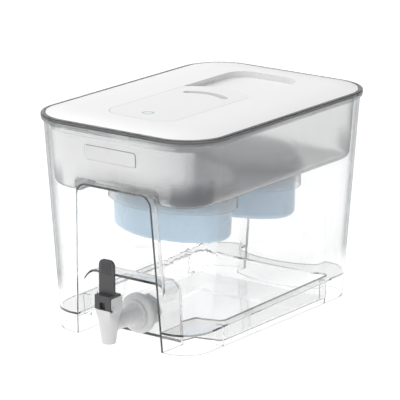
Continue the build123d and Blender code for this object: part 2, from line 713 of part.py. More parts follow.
def make_cover_base():
    low = TUB_FLOOR + PLAY
    return cover_block(low, low + COVER_BASE_T, COVER_SHELL + PLAY)


def make_button():
    roof = LID_TOP - COVER_SHELL
    flange_top = roof - PLAY
    body = upright(0, BUTTON_Y, flange_top - BUTTON_FLANGE_T, flange_top, BUTTON_R + BUTTON_FLANGE)
    cap = upright(0, BUTTON_Y, flange_top, LID_TOP, BUTTON_R)
    body += fillet(cap.faces().sort_by(Axis.Z)[-1].edges(), PLAY)
    return body + upright(0, BUTTON_Y, BOARD_TOP + BUTTON_TRAVEL, flange_top, BUTTON_POST_R)


def make_board():
    front = BUTTON_Y - BOARD_W / 2
    return block(-BOARD_W / 2, BOARD_W / 2, front, front + BOARD_L, BOARD_TOP - BOARD_T, BOARD_TOP)


def make_cell():
    return upright(0, BUTTON_Y + CELL_SET_BACK, BOARD_TOP, BOARD_TOP + CELL_T, CELL_R)


# ---- tap ----
def spun(points):
    """Body turned about the spout's upright axis from (radius, z) points."""
    return Pos(0, SPOUT_Y, 0) * revolve(make_face(Plane.XZ * Polyline(*points, close=True)), Axis.Z)


def head_plan(z, inset):
    """Plan of the tap's square head at height z, moved in by inset."""
    front = PLATE_OUT - HEAD_LIP_T
    plan = RectangleRounded(HEAD_W - 2 * inset, HEAD_BACK - front - 2 * inset, HEAD_R + inset)
    return Plane.XY.offset(z) * Pos(0, (front + HEAD_BACK) / 2) * plan


def make_tap_body():
    spout = spun([(0, SPOUT_BOTTOM), (SPOUT_LOW_R, SPOUT_BOTTOM), (SPOUT_HIGH_R, SHOULDER_LOW),
                  (0, SHOULDER_LOW)])
    spout = fillet(spout.edges().filter_by(GeomType.CIRCLE).sort_by(Axis.Z)[0], SPOUT_EDGE_R)
    round_end = Plane.XY.offset(SHOULDER_LOW) * Pos(0, SPOUT_Y) * Circle(SPOUT_HIGH_R)
    body = spout + loft([round_end, head_plan(SPOUT_TOP, SHOULDER_IN)])
    body += forward(SPOUT_Y, FLANGE_BACK, BARREL_R)
    flange = forward(FLANGE_FRONT, FLANGE_BACK, FLANGE_R)
    body += fillet(flange.faces().sort_by(Axis.Y)[0].edges(), FLANGE_EDGE_R)
    step_front = FLANGE_FRONT - STEP_T
    body += forward(step_front, FLANGE_FRONT, STEP_R)
    cone = Plane.XZ.offset(-step_front) * Pos(0, TAP_Z) * Circle(CONE_R)
    tip = Plane.XZ.offset(-step_front + CONE_L) * Pos(0, TAP_Z) * Circle(BARREL_R)
    body += loft([cone, tip], ruled=True)
    body += forward(FLANGE_BACK, SHANK_END, SHANK_R)
    body -= forward(SPOUT_Y, SHANK_END + OVER, CHANNEL_R)
    bore = spun([(0, SPOUT_BOTTOM - OVER), (OUTLET_R, SPOUT_BOTTOM - OVER), (OUTLET_R, SEAT_Z),
                 (SEAT_R, SEAT_Z), (CHAMBER_R, CHAMBER_ROOF), (CHAMBER_R, SPOUT_TOP + OVER),
                 (0, SPOUT_TOP + OVER)])
    return body - bore


def make_bonnet():
    head = loft([head_plan(SPOUT_TOP, SHOULDER_IN), head_plan(HEAD_LIP_TOP, 0)])
    head += extrude(head_plan(HEAD_LIP_TOP, 0), CHEEK_TOP - HEAD_LIP_TOP)
    lip = block(-HEAD_W, HEAD_W, -FAR, PIVOT_Y, BONNET_TOP, HEAD_LIP_TOP)
    lip -= across(PIVOT_Y, PIVOT_Z, PLATE_REACH, HEAD_W)
    inner = HEAD_W / 2 - CHEEK_T
    head -= block(-inner, inner, -FAR, FAR, BONNET_TOP, FAR) - lip
    nose = PIVOT_Y - HEAD_FRONT
    keep = across(PIVOT_Y, PIVOT_Z, nose, HEAD_W) + lip
    keep += block(-HEAD_W, HEAD_W, PIVOT_Y, 0, SPOUT_TOP, FAR)
    keep += across(PIVOT_Y, PIVOT_Z, CHEEK_TOP - PIVOT_Z, HEAD_W) & block(
        -HEAD_W, HEAD_W, HEAD_FRONT, 0, PIVOT_Z, FAR)
    keep += block(-HEAD_W, HEAD_W, -FAR, 0, SPOUT_TOP, BONNET_TOP)
    body = head & keep
    body += upright(0, SPOUT_Y, CHAMBER_ROOF, BONNET_TOP, CHAMBER_R - RUN_FIT)
    body -= upright(0, SPOUT_Y, 0, FAR, STEM_R + RUN_FIT)
    return body - across(PIVOT_Y, PIVOT_Z, LEVER_PIN_R + RUN_FIT / 2, HEAD_W)


def make_paddle():
    low = LEVER_TOP_Z
    height = PADDLE_TOP - low
    plan = Plane.XZ.offset(-PADDLE_Y) * Pos(0, low + height / 2) * Rectangle(PADDLE_W, height)
    plan = fillet(plan.vertices().group_by(Axis.Z)[-1], PADDLE_R)
    slab = extrude(plan, -PADDLE_T)
    slab = fillet(slab.faces().sort_by(Axis.Y)[0].edges().group_by(Axis.Z)[-1], PADDLE_T / 4)
    for i in range(GRIP_RIBS):
        z = PADDLE_TOP - GRIP_DROP - GRIP_PITCH * i
        slab += across(PADDLE_Y, z, GRIP_R, GRIP_W / 2)
    return slab


def make_lever():
    back = HEAD_BACK - LEVER_BACK_GAP
    body = across(PIVOT_Y, PIVOT_Z, KNUCKLE_R, HALF_HUB)
    body += block(-HALF_HUB, HALF_HUB, PLATE_IN, back, PIVOT_Z, LEVER_TOP_Z)
    body += block(-LEVER_W / 2, LEVER_W / 2, PLATE_OUT, PLATE_IN, PIVOT_Z - LEVER_SKIRT, LEVER_TOP_Z)
    body += block(-LEVER_W / 2, LEVER_W / 2, PLATE_OUT, back, LEVER_TOP_Z,
                  LEVER_TOP_Z + LEVER_TOP_T)
    body += make_paddle()
    body -= block(-STEM_SLOT_W / 2, STEM_SLOT_W / 2, PIVOT_Y - LEVER_PIN_R, FAR, 0,
                  LEVER_TOP_Z - PLAY)
    middle = PIVOT_Z + WINDOW_RISE
    body -= block(-WINDOW_W / 2, WINDOW_W / 2, -FAR, PLATE_OUT + WINDOW_DEPTH,
                  middle - WINDOW_H / 2, middle + WINDOW_H / 2)
    body -= across(PIVOT_Y, PIVOT_Z, LEVER_PIN_R + RUN_FIT, LEVER_W)
    reach = SPOUT_Y - PIVOT_Y
    rise = STEM_PIN_Z - PIVOT_Z
    turn = radians(LEVER_SWING)
    end_y = reach * cos(turn) + (rise + STEM_LIFT) * sin(turn)
    end_z = (rise + STEM_LIFT) * cos(turn) - reach * sin(turn)
    play = STEM_PIN_R + PLAY
    body -= across(PIVOT_Y + reach, PIVOT_Z + rise, play, LEVER_W)
    body -= across(PIVOT_Y + end_y, PIVOT_Z + end_z, play, LEVER_W)
    low, high = min(rise, end_z) - play, max(rise, end_z) + play
    return body - block(-LEVER_W, LEVER_W, PIVOT_Y + reach, PIVOT_Y + end_y,
                        PIVOT_Z + low, PIVOT_Z + high)


def make_stem():
    body = upright(0, SPOUT_Y, COLLAR_Z - STEM_TAIL, STEM_TOP_Z, STEM_R)
    body += upright(0, SPOUT_Y, COLLAR_Z - COLLAR_STEM_T, COLLAR_Z, COLLAR_R)
    return body - across(SPOUT_Y, STEM_PIN_Z, STEM_PIN_R + RUN_FIT / 2, STEM_PIN_L)


def make_seat_cup():
    top = COLLAR_Z - COLLAR_STEM_T
    lip = SEAT_R - PLAY
    body = spun([(0, SEAT_Z), (lip, SEAT_Z), (lip, SEAT_Z + SEAT_LIP_H),
                 (COLLAR_R - SEAT_WAIST, SEAT_Z + 2 * SEAT_LIP_H), (COLLAR_R, top), (0, top)])
    return body - upright(0, SPOUT_Y, COLLAR_Z - STEM_TAIL, top + OVER, STEM_R + RUN_FIT / 2)


def make_spring():
    height = CHAMBER_ROOF - COLLAR_Z - SPRING_WIRE - 2 * RUN_FIT
    path = Helix(height / SPRING_TURNS, height, SPRING_R)
    start = Plane(origin=path @ 0, z_dir=path % 0)
    wire = sweep(start * RegularPolygon(SPRING_WIRE / 2, 6), path)
    return Pos(0, SPOUT_Y, COLLAR_Z + SPRING_WIRE / 2 + RUN_FIT) * wire


def make_nut():
    plan = Plane.XZ.offset(-NICHE_INSIDE - WASHER_T) * Pos(0, TAP_Z) * RegularPolygon(NUT_R, NUT_SIDES)
    body = extrude(plan, -NUT_T)
    return body - forward(NICHE_BACK, SHANK_END, SHANK_R + RUN_FIT)


def make_washer(front, radius):
    ring = forward(front, front + WASHER_T, radius)
    return ring - forward(front - OVER, front + WASHER_T + OVER, SHANK_R + RUN_FIT)


# ---- every piece by its node name ----
pieces = {
    "tank": make_tank() + front_plate(),
    "reservoir": make_reservoir(),
    "lid": make_lid(),
    "fill_cover": make_cover(),
    "cover_base": make_cover_base(),
    "indicator_button": make_button(),
    "indicator_board": make_board(),
    "indicator_cell": make_cell(),
    "tap_body": make_tap_body(),
    "tap_bonnet": make_bonnet(),
    "tap_lever": make_lever(),
    "lever_pin": across(PIVOT_Y, PIVOT_Z, LEVER_PIN_R, HEAD_W / 2),
    "valve_stem": make_stem(),
    "stem_pin": across(SPOUT_Y, STEM_PIN_Z, STEM_PIN_R, STEM_PIN_L / 2),
    "seat_cup": make_seat_cup(),
    "valve_spring": make_spring(),
    "outer_washer": make_washer(FLANGE_BACK, OUTER_WASHER_R),
    "inner_washer": make_washer(NICHE_INSIDE, INNER_WASHER_R),
    "lock_nut": make_nut(),
}
cartridge = {
    "cup": make_cup(),
    "lower_mesh": make_mesh(CUP_BOTTOM + CUP_WALL),
    "media": make_media(),
    "upper_mesh": make_mesh(MEDIA_TOP),
    "cap": make_cap(),
    "pull": make_pull(),
    "seal": make_seal(),
}
for place, y in (("front", FRONT_Y), ("rear", REAR_Y)):
    for name, piece in cartridge.items():
        pieces[place + "_filter_" + name] = Pos(0, y, 0) * piece

os.makedirs("parts", exist_ok=True)
for name, piece in pieces.items():
    export_step(piece, "parts/" + name + ".step")
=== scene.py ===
"""Looks of a gravity water filter dispenser: clear tank, smoky reservoir, white lid, tap and cartridges.

Metres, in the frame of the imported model: +Z up, -Y towards the tap, +X right seen from the front.
"""
import json
import math

import bmesh
import bpy
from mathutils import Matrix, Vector


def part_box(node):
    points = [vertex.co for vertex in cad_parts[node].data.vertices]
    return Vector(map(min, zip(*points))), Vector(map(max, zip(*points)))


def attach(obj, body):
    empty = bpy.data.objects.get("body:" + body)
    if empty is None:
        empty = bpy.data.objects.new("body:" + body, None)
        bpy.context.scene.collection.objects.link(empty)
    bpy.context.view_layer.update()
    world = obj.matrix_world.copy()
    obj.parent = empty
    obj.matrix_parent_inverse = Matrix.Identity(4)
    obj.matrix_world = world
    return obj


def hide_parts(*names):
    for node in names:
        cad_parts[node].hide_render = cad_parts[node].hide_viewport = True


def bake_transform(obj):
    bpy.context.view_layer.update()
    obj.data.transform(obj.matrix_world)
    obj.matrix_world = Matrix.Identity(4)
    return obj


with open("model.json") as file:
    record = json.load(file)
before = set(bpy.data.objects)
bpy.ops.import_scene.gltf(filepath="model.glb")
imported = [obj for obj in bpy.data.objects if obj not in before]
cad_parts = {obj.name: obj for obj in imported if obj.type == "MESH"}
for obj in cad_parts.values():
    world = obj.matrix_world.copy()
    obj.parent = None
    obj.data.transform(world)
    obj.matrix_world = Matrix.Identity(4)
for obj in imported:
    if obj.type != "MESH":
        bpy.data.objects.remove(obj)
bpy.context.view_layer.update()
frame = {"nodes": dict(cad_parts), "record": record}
NODES = frame["nodes"]
SUBPARTS = frame["record"]["subparts"]
MM = 0.001

# ---- camera ----
AZIMUTH = math.radians(36.83)        # right of the front
ELEVATION = math.radians(15.44)
DISTANCE = 3345.06 * MM
TARGET_Z = 130.52 * MM
TARGET_SIDE = -5.06 * MM             # along the picture's right
LENS = 261.07                        # lens and sensor in millimetres
SENSOR = 36.0
CLIP_NEAR = 0.1
CLIP_FAR = 50.0
RIGHT = Vector((math.cos(AZIMUTH), math.sin(AZIMUTH), 0))

# ---- light ----
WHITE = 1.0                          # background, seen by the camera and through clear plastic
FILL_FRONT = 1.75                    # light on matt surfaces from the front
FILL_BACK = 0.35                     # and from behind
FILL_WAY = Vector((0.45, 0.89, 0))   # from the bright end of that light to the dim one
SIDE_DIM = 0.14                      # what gloss and clear plastic show of the background's sides
SIDE_START = 0.2                     # where those sides begin, and where they are dimmest
SIDE_END = 0.5
GLOSS_SHARE = 0.92                   # of the background, in gloss
KEY_POWER = 2.4
KEY_SIZE = 0.7
KEY_PLACE = Vector((-0.75, 0.15, 0.95))
FLOOR_RADIUS = 6.0
FLOOR_SIDES = 64
FLOOR_DROP = 0.3 * MM                # below the tank's foot
FLOOR_MATT = 0.3                     # share of the floor's white that the shadow can darken
FLOOR_GLOW = 0.84                    # light of its own, which is full white through clear plastic

# ---- plastics ----
PLASTIC_IOR = 1.49
GLOSS_SCALE = 30.0                   # wandering gloss: its scale, and the noise values of its ends
GLOSS_LOW = 0.35
GLOSS_HIGH = 0.65
GLOSS_DETAIL = 3.0
GRAIN_DETAIL = 4.0
NOISE_ROUGHNESS = 0.55
LID_STEEP = 0.5                      # upward part of the normal where the lid's painted shade is deepest
LID_LEVEL = 0.97                     # and where it is white
COVER_STEEP = 0.8                    # the same painted shade on the cover's upright faces
COVER_LEVEL = 0.99
CAP_SHADE_Z = 168.0 * MM              # painted shade low on the cartridges' caps and painted light on their tops, between these heights
CAP_LIGHT_Z = 180.0 * MM

# ---- painted shade along the tank's edges ----
EDGE_X = 66.0 * MM                   # out from the middle plane
EDGE_FADE = 4.0 * MM
EDGE_LOW = 40.0 * MM                 # above the foot
EDGE_FULL = 65.0 * MM
UPRIGHT = 0.2                        # vertical part of the normal on upright walls
LEVEL = 0.6                          # and on walls that are too level for the painted shade
LIP_Z = 240.5 * MM
LIP_SHARE = 0.42

# ---- reservoir's milky front wall, a haze which also paints the light from the front ----
HAZE_LIGHT_COLOUR = (0.97, 0.97, 0.97, 1)
HAZE_LIGHT_MOST = 0.92
HAZE_LIGHT_LEAST = 0.04                   # low down, from the middle to the right
HAZE_LIGHT_Y = -135.0 * MM                # in front of this plane
HAZE_LIGHT_Y_END = -115.0 * MM
HAZE_LIGHT_FACING = -0.98                 # forward part of the normal where the painted light is full
HAZE_LIGHT_TURNED = -0.6                  # and where it ends
HAZE_LIGHT_X = 20.0 * MM                  # thinner from here to the right corner
HAZE_LIGHT_X_END = 80.0 * MM
HAZE_LIGHT_X_SHARE = 0.6
HAZE_LIGHT_THIN_X = -60.0 * MM            # the thin stretch low down starts here
HAZE_LIGHT_THIN_X_FULL = 0.0
HAZE_LIGHT_LOW = 178.0 * MM               # and fades out between these heights
HAZE_LIGHT_HIGH = 212.0 * MM
HAZE_LIGHT_TOP = 233.0 * MM               # the rim above is clear
HAZE_LIGHT_TOP_END = 235.0 * MM

# ---- painted shade low down on the reservoir's round corners ----
CORNER_SHADE_COLOUR = (0.33, 0.35, 0.37, 1)
CORNER_SHARE = 0.5
CORNER_START = 0.02                  # product of the normal's level parts, where the painted shade starts
CORNER_FULL = 0.25
CORNER_LOW = 176.0 * MM
CORNER_HIGH = 205.0 * MM
WELLS_Z = 160.0 * MM                 # above the wells' collars
WELLS_FADE = 4.0 * MM

# ---- small pieces ----
BEAD_SIDES = 6
PLUMB = 0.01                         # level part of a direction that counts as upright
ARC_STEPS = 10                       # in a quarter turn
TURN_STEPS = 24                      # in a turn of a screw line
COVER_GAP = 0.5 * MM                 # between the cover and its track
COVER_R = 23.8 * MM
COVER_SIDE_END = 22.0 * MM
COVER_LINE_R = 0.2 * MM
RING_R = 5.9 * MM                    # mark on the button
RING_W = 0.9 * MM
PLATE_W = 71.4 * MM                  # raised plate on the front wall
PLATE_H = 16.8 * MM
PLATE_R = 3.2 * MM
PLATE_DROP = 27.2 * MM               # from the tank's top to the plate's middle
PLATE_LINE_R = 0.22 * MM
IN_FRONT = -1.0                      # a plane ahead of the whole object
SHANK_R = 8.0 * MM
THREAD_R = 0.45 * MM
THREAD_PITCH = 1.8 * MM
COIL_TURNS = 5
COIL_WIRE_R = 0.45 * MM


# ---- node helpers, for a material or the world ----
def add(owner, kind, **values):
    """A node of that kind, with named inputs or properties set. An underscore stands for a space."""
    node = owner.node_tree.nodes.new("ShaderNode" + kind)
    for name, value in values.items():
        socket = name.replace("_", " ")
        if socket in node.inputs:
            node.inputs[socket].default_value = value
        else:
            setattr(node, name, value)
    return node


def link(owner, source, output, target, socket):
    """Joins source's output to target's input."""
    owner.node_tree.links.new(source.outputs[output], target.inputs[socket])


def ramp(owner, source, output, low, high, first, last, smooth=False):
    """Map Range from low..high to first..last, fed from one output."""
    node = add(owner, "MapRange", From_Min=low, From_Max=high, To_Min=first, To_Max=last)
    if smooth:
        node.interpolation_type = "SMOOTHSTEP"
    link(owner, source, output, node, "Value")
    return node


def size_of(owner, source, output):
    """An output's value without its sign."""
    node = add(owner, "Math", operation="ABSOLUTE")
    link(owner, source, output, node, 0)
    return node


def mixed(owner, share, output, first, second):
    """Mix of two shaders, where share is how much of the second shows."""
    node = add(owner, "MixShader")
    link(owner, share, output, node, 0)
    link(owner, first, 0, node, 1)
    link(owner, second, 0, node, 2)
    return node


def times(owner, first, *others):
    """Product of the results of several Map Range nodes."""
    product, output = first, "Result"
    for other in others:
        node = add(owner, "Math", operation="MULTIPLY")
        link(owner, product, output, node, 0)
        link(owner, other, "Result", node, 1)
        product, output = node, "Value"
    return product


def parts_of(owner, source):
    """X, Y and Z of the object's coordinates, or of the face's normal."""
    place = add(owner, "TexCoord" if source == "Object" else "NewGeometry")
    node = add(owner, "SeparateXYZ")
    link(owner, place, source, node, "Vector")
    return node


# ---- material helpers ----
def linear(value):
    """Linear light of a display value from 0 to 255."""
    share = value / 255
    return share / 12.92 if share <= 0.04045 else ((share + 0.055) / 1.055) ** 2.4


def colour(red, green, blue):
    """Linear colour of display values, with alpha."""
    return (linear(red), linear(green), linear(blue), 1.0)


def new_material(name):
    """A material that holds its output node alone, and that node."""
    material = bpy.data.materials.new(name)
    material.use_nodes = True
    material.node_tree.nodes.clear()
    return material, add(material, "OutputMaterial")


def noise(material, scale, detail):
    """Noise in object coordinates."""
    place = add(material, "TexCoord")
    node = add(material, "TexNoise", Scale=scale, Detail=detail, Roughness=NOISE_ROUGHNESS)
    link(material, place, "Object", node, "Vector")
    return node


def varied_roughness(material, shader, low, high):
    """Roughness that wanders between two values, as handled plastic has."""
    pattern = noise(material, GLOSS_SCALE, GLOSS_DETAIL)
    spread = ramp(material, pattern, "Fac", GLOSS_LOW, GLOSS_HIGH, low, high)
    link(material, spread, "Result", shader, "Roughness")


def fine_bump(material, shader, scale, depth):
    """Moulded grain as a bump of that depth."""
    pattern = noise(material, scale, GRAIN_DETAIL)
    bump = add(material, "Bump", Strength=1.0, Distance=depth)
    link(material, pattern, "Fac", bump, "Height")
    link(material, bump, "Normal", shader, "Normal")


def two_colours(material, shader, share, output, first, last):
    """Base colour that goes from first to last as share goes from 0 to 1."""
    mix = add(material, "Mix", data_type="RGBA")
    mix.inputs[6].default_value = first
    mix.inputs[7].default_value = last
    link(material, share, output, mix, 0)
    link(material, mix, 2, shader, "Base Color")


def paint_shade(material, shader, base, source, low, high, first):
    """Painted shade: base colour that starts from a darker one low down, or on faces that stand upright,
    where less light falls.
    """
    share = ramp(material, parts_of(material, source), "Z", low, high, 0.0, 1.0, smooth=True)
    two_colours(material, shader, share, "Result", first, base)


def ring_mark(material, shader, base, ring):
    """Thin ring on the button's top, round its own axis."""
    low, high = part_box("indicator_button")
    place = add(material, "TexCoord")
    shift = add(material, "VectorMath", operation="SUBTRACT")
    shift.inputs[1].default_value = (low + high) / 2
    link(material, place, "Object", shift, 0)
    level = add(material, "VectorMath", operation="MULTIPLY")
    level.inputs[1].default_value = (1, 1, 0)
    link(material, shift, "Vector", level, 0)
    reach = add(material, "VectorMath", operation="LENGTH")
    link(material, level, "Vector", reach, 0)
    away = add(material, "Math", operation="SUBTRACT")
    away.inputs[1].default_value = RING_R
    link(material, reach, "Value", away, 0)
    line = add(material, "Math", operation="LESS_THAN")
    line.inputs[1].default_value = RING_W / 2
    link(material, size_of(material, away, "Value"), "Value", line, 0)
    two_colours(material, shader, line, "Value", base, ring)


def edge_shade_share(material, straight, start, end, walls):
    """How much of the plastic shows its painted edge shade, a grey let straight through: more where the eye
    looks along the wall.

    With walls, the painted shade keeps to the tank's upright outer walls, above its foot, and to its lip.
    """
    weight = add(material, "LayerWeight", Blend=0.5)
    along = ramp(material, weight, "Facing", start, end, 0.0, 1.0, smooth=True)
    if not walls:
        return ramp(material, along, "Result", 0.0, 1.0, straight, 1.0)
    spot = parts_of(material, "Object")
    normal = parts_of(material, "Normal")
    outer = ramp(material, size_of(material, spot, "X"), "Value", EDGE_X - EDGE_FADE, EDGE_X, 0.0, 1.0)
    upright = ramp(material, size_of(material, normal, "Z"), "Value", UPRIGHT, LEVEL, 1.0, 0.0)
    above = ramp(material, spot, "Z", EDGE_LOW, EDGE_FULL, 0.0, 1.0)
    wall = ramp(material, times(material, along, outer, upright, above), "Value", 0.0, 1.0, straight, 1.0)
    lip = ramp(material, spot, "Z", LIP_Z - MM, LIP_Z, straight, LIP_SHARE)
    more = add(material, "Math", operation="MAXIMUM")
    link(material, wall, "Result", more, 0)
    link(material, lip, "Result", more, 1)
    return more


def haze_light_share(material, spot, normal):
    """How much milky haze, which paints the light from the front, the reservoir's wall shows: in front, less
    to the right, and least low down on the right.
    """
    low = ramp(material, spot, "Z", HAZE_LIGHT_LOW, HAZE_LIGHT_HIGH, 1.0, 0.0, smooth=True)
    right = ramp(material, spot, "X", HAZE_LIGHT_THIN_X, HAZE_LIGHT_THIN_X_FULL, 0.0, 1.0)
    most = ramp(material, times(material, low, right), "Value", 0.0, 1.0, HAZE_LIGHT_MOST, HAZE_LIGHT_LEAST)
    front = ramp(material, spot, "Y", HAZE_LIGHT_Y, HAZE_LIGHT_Y_END, 1.0, 0.0)
    facing = ramp(material, normal, "Y", HAZE_LIGHT_FACING, HAZE_LIGHT_TURNED, 1.0, 0.0, smooth=True)
    along = ramp(material, spot, "X", HAZE_LIGHT_X, HAZE_LIGHT_X_END, 1.0, HAZE_LIGHT_X_SHARE, smooth=True)
    under = ramp(material, spot, "Z", HAZE_LIGHT_TOP, HAZE_LIGHT_TOP_END, 1.0, 0.0)
    return times(material, most, front, facing, along, under)


def corner_shade_share(material, spot, normal):
    """How deep the painted shade is on the reservoir's round corners: between the wells and the upper wall.
    """
    slant = add(material, "Math", operation="MULTIPLY")
    link(material, normal, "X", slant, 0)
    link(material, normal, "Y", slant, 1)
    size = size_of(material, slant, "Value")
    turned = ramp(material, size, "Value", CORNER_START, CORNER_FULL, 0.0, CORNER_SHARE, smooth=True)
    foot = ramp(material, spot, "Z", CORNER_LOW, CORNER_HIGH, 1.0, 0.0, smooth=True)
    wells = ramp(material, spot, "Z", WELLS_Z - WELLS_FADE, WELLS_Z, 0.0, 1.0)
    return times(material, turned, foot, wells)


def reservoir_front(material, body):
    """The reservoir's plastic with its milky front wall, which paints the light from the front, and painted
    shade on its round corners.
    """
    spot = parts_of(material, "Object")
    normal = parts_of(material, "Normal")
    # painted light: white diffuse haze on the front wall only, where the light comes from
    milky_front_light = add(material, "BsdfDiffuse", Color=HAZE_LIGHT_COLOUR)
    front = mixed(material, haze_light_share(material, spot, normal), "Value", body, milky_front_light)
    # painted shade: dark grey let through on the round corners
    shade_sheet = add(material, "BsdfTransparent", Color=CORNER_SHADE_COLOUR)
    return mixed(material, corner_shade_share(material, spot, normal), "Value", front, shade_sheet)


def clear_plastic(name, tint, edge_shade, roughness, density, absorb, shade, milky_front_light=False, **edges):
    """Transparent moulded plastic: refraction, absorption inside, light let through to what is behind,
    painted grey shade along its edges, and on the reservoir painted light and shade.
    """
    material, output = new_material(name)
    shader = add(material, "BsdfPrincipled", Base_Color=tint, Roughness=roughness, IOR=PLASTIC_IOR,
                 Transmission_Weight=1.0)
    # painted shade: grey let straight through, in place of the dark edges of the plastic
    direct = add(material, "BsdfTransparent", Color=edge_shade)
    body = mixed(material, edge_shade_share(material, **edges), 0, shader, direct)
    if milky_front_light:
        body = reservoir_front(material, body)
    rays = add(material, "LightPath")
    through = add(material, "BsdfTransparent", Color=shade)
    link(material, mixed(material, rays, "Is Shadow Ray", body, through), 0, output, "Surface")
    inside = add(material, "VolumeAbsorption", Color=absorb, Density=density)
    link(material, inside, 0, output, "Volume")
    return material


def solid_plastic(name, base, low, high, grain, scale, metallic=0.0, painted_shade=None, ring=None):
    """Opaque moulded plastic with wandering gloss and a fine grain, and painted shade by height or by slope
    where given.
    """
    material, output = new_material(name)
    shader = add(material, "BsdfPrincipled", Base_Color=base, Metallic=metallic)
    varied_roughness(material, shader, low, high)
    fine_bump(material, shader, scale, grain)
    if painted_shade:
        paint_shade(material, shader, base, *painted_shade)
    if ring:
        ring_mark(material, shader, base, ring)
    link(material, shader, 0, output, "Surface")
    return material


# ---- finishes, by the record's material slots ----
CLEAR = {
    "clear_plastic": dict(tint=(1, 1, 1, 1), edge_shade=(0.68, 0.69, 0.7, 1), roughness=0.0, density=12.0,
                          absorb=(0.6, 0.61, 0.62, 1), shade=(0.99, 0.99, 1, 1),
                          straight=0.03, start=0.3, end=1.0, walls=True),
    "smoky_plastic": dict(tint=(0.99, 0.99, 0.99, 1), edge_shade=(0.66, 0.66, 0.66, 1), roughness=0.17,
                          density=60.0, absorb=(0.33, 0.335, 0.34, 1), shade=(0.96, 0.96, 0.96, 1),
                          milky_front_light=True, straight=0.0, start=0.6, end=1.0, walls=False),
}
SOLID = {
    # lid and cover: painted shade on their upright faces, white on their level tops
    "lid_white": dict(base=colour(250, 250, 250), low=0.3, high=0.33, grain=0.002 * MM, scale=60.0,
                      painted_shade=("Normal", LID_STEEP, LID_LEVEL, colour(222, 222, 222))),
    "cover_white": dict(base=colour(246, 246, 246), low=0.42, high=0.46, grain=0.002 * MM, scale=60.0,
                        painted_shade=("Normal", COVER_STEEP, COVER_LEVEL, colour(212, 212, 212))),
    "white_plastic": dict(base=colour(210, 210, 210), low=0.2, high=0.3, grain=0.001 * MM, scale=500.0),
    "pale_blue_plastic": dict(base=colour(198, 223, 241), low=0.25, high=0.35, grain=0.001 * MM, scale=500.0),
    # caps: painted shade, near black, low down, and painted light on their pale tops
    "cap_grey": dict(base=colour(208, 215, 219), low=0.3, high=0.4, grain=0.001 * MM, scale=500.0,
                     painted_shade=("Object", CAP_SHADE_Z, CAP_LIGHT_Z, colour(22, 32, 40))),
    "dark_grey_plastic": dict(base=colour(70, 70, 72), low=0.32, high=0.42, grain=0.006 * MM, scale=1200.0),
    "silicone": dict(base=colour(220, 220, 220), low=0.5, high=0.6, grain=0.02 * MM, scale=1200.0),
    "steel": dict(base=colour(190, 190, 192), low=0.25, high=0.35, grain=0.01 * MM, scale=3000.0,
                  metallic=1.0),
    "filter_mesh": dict(base=colour(225, 228, 230), low=0.6, high=0.7, grain=0.1 * MM, scale=1500.0),
    "carbon_media": dict(base=colour(40, 40, 42), low=0.7, high=0.9, grain=0.5 * MM, scale=700.0),
    "circuit_board": dict(base=colour(30, 90, 60), low=0.35, high=0.5, grain=0.001 * MM, scale=500.0),
    # dark grey for beads that paint the shade in the cover's gap and at the plate's edge
    "gap_grey": dict(base=colour(62, 62, 62), low=0.5, high=0.6, grain=0.001 * MM, scale=500.0),
    "button_green": dict(base=colour(236, 240, 238), low=0.2, high=0.3, grain=0.01 * MM, scale=900.0,
                         ring=colour(120, 196, 192)),
}
MATERIALS = {name: clear_plastic(name, **finish) for name, finish in CLEAR.items()}
MATERIALS.update({name: solid_plastic(name, **finish) for name, finish in SOLID.items()})


def dress_nodes():
    """Gives every carried-over node the material of its slot in the record."""
    for part in SUBPARTS:
        materials = NODES[part["node"]].data.materials
        materials.clear()
        materials.append(MATERIALS[part["material_slot"]])


# ---- small pieces ----
def bead(name, points, radius, closed, body, slot):
    """Round bead along points, which rides on a body, if one is named, and takes that slot's finish."""
    form = bmesh.new()
    rings = []
    count = len(points)
    for i, point in enumerate(points):
        before = points[(i - 1) % count] if closed or i else point
        after = points[(i + 1) % count] if closed or i < count - 1 else point
        along = (after - before).normalized()
        level = along.cross(Vector((0, 0, 1)))
        side = level.normalized() if level.length > PLUMB else Vector((1, 0, 0))
        up = side.cross(along)
        ring = []
        for k in range(BEAD_SIDES):
            turn = 2 * math.pi * k / BEAD_SIDES
            ring.append(form.verts.new(point + radius * (math.cos(turn) * side + math.sin(turn) * up)))
        rings.append(ring)
    for i in range(count if closed else count - 1):
        near, far = rings[i], rings[(i + 1) % count]
        for k in range(BEAD_SIDES):
            beside = (k + 1) % BEAD_SIDES
            form.faces.new((near[k], near[beside], far[beside], far[k]))
    if not closed:
        form.faces.new(reversed(rings[0]))
        form.faces.new(rings[-1])
    bmesh.ops.recalc_face_normals(form, faces=form.faces)
    mesh = bpy.data.meshes.new(name)
    form.to_mesh(mesh)
    form.free()
    mesh.shade_smooth()
    mesh.materials.append(MATERIALS[slot])
    piece = bpy.data.objects.new(name, mesh)
    bpy.context.scene.collection.objects.link(piece)
    if body:
        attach(piece, body)
    return piece


def arc(centre, radius, start, end):
    """Points of a level quarter turn between two angles in degrees."""
    turns = [math.radians(start + (end - start) * i / ARC_STEPS) for i in range(ARC_STEPS + 1)]
    return [centre + radius * Vector((math.cos(turn), math.sin(turn), 0)) for turn in turns]


def screw_line(start, end, turns, side, up):
    """Points of a screw line round the axis from start to end. Side and up are two radii of it."""
    steps = int(turns * TURN_STEPS)
    points = []
    for i in range(steps + 1):
        turn = 2 * math.pi * i / TURN_STEPS
        points.append(start + (end - start) * i / steps + math.cos(turn) * side + math.sin(turn) * up)
    return points


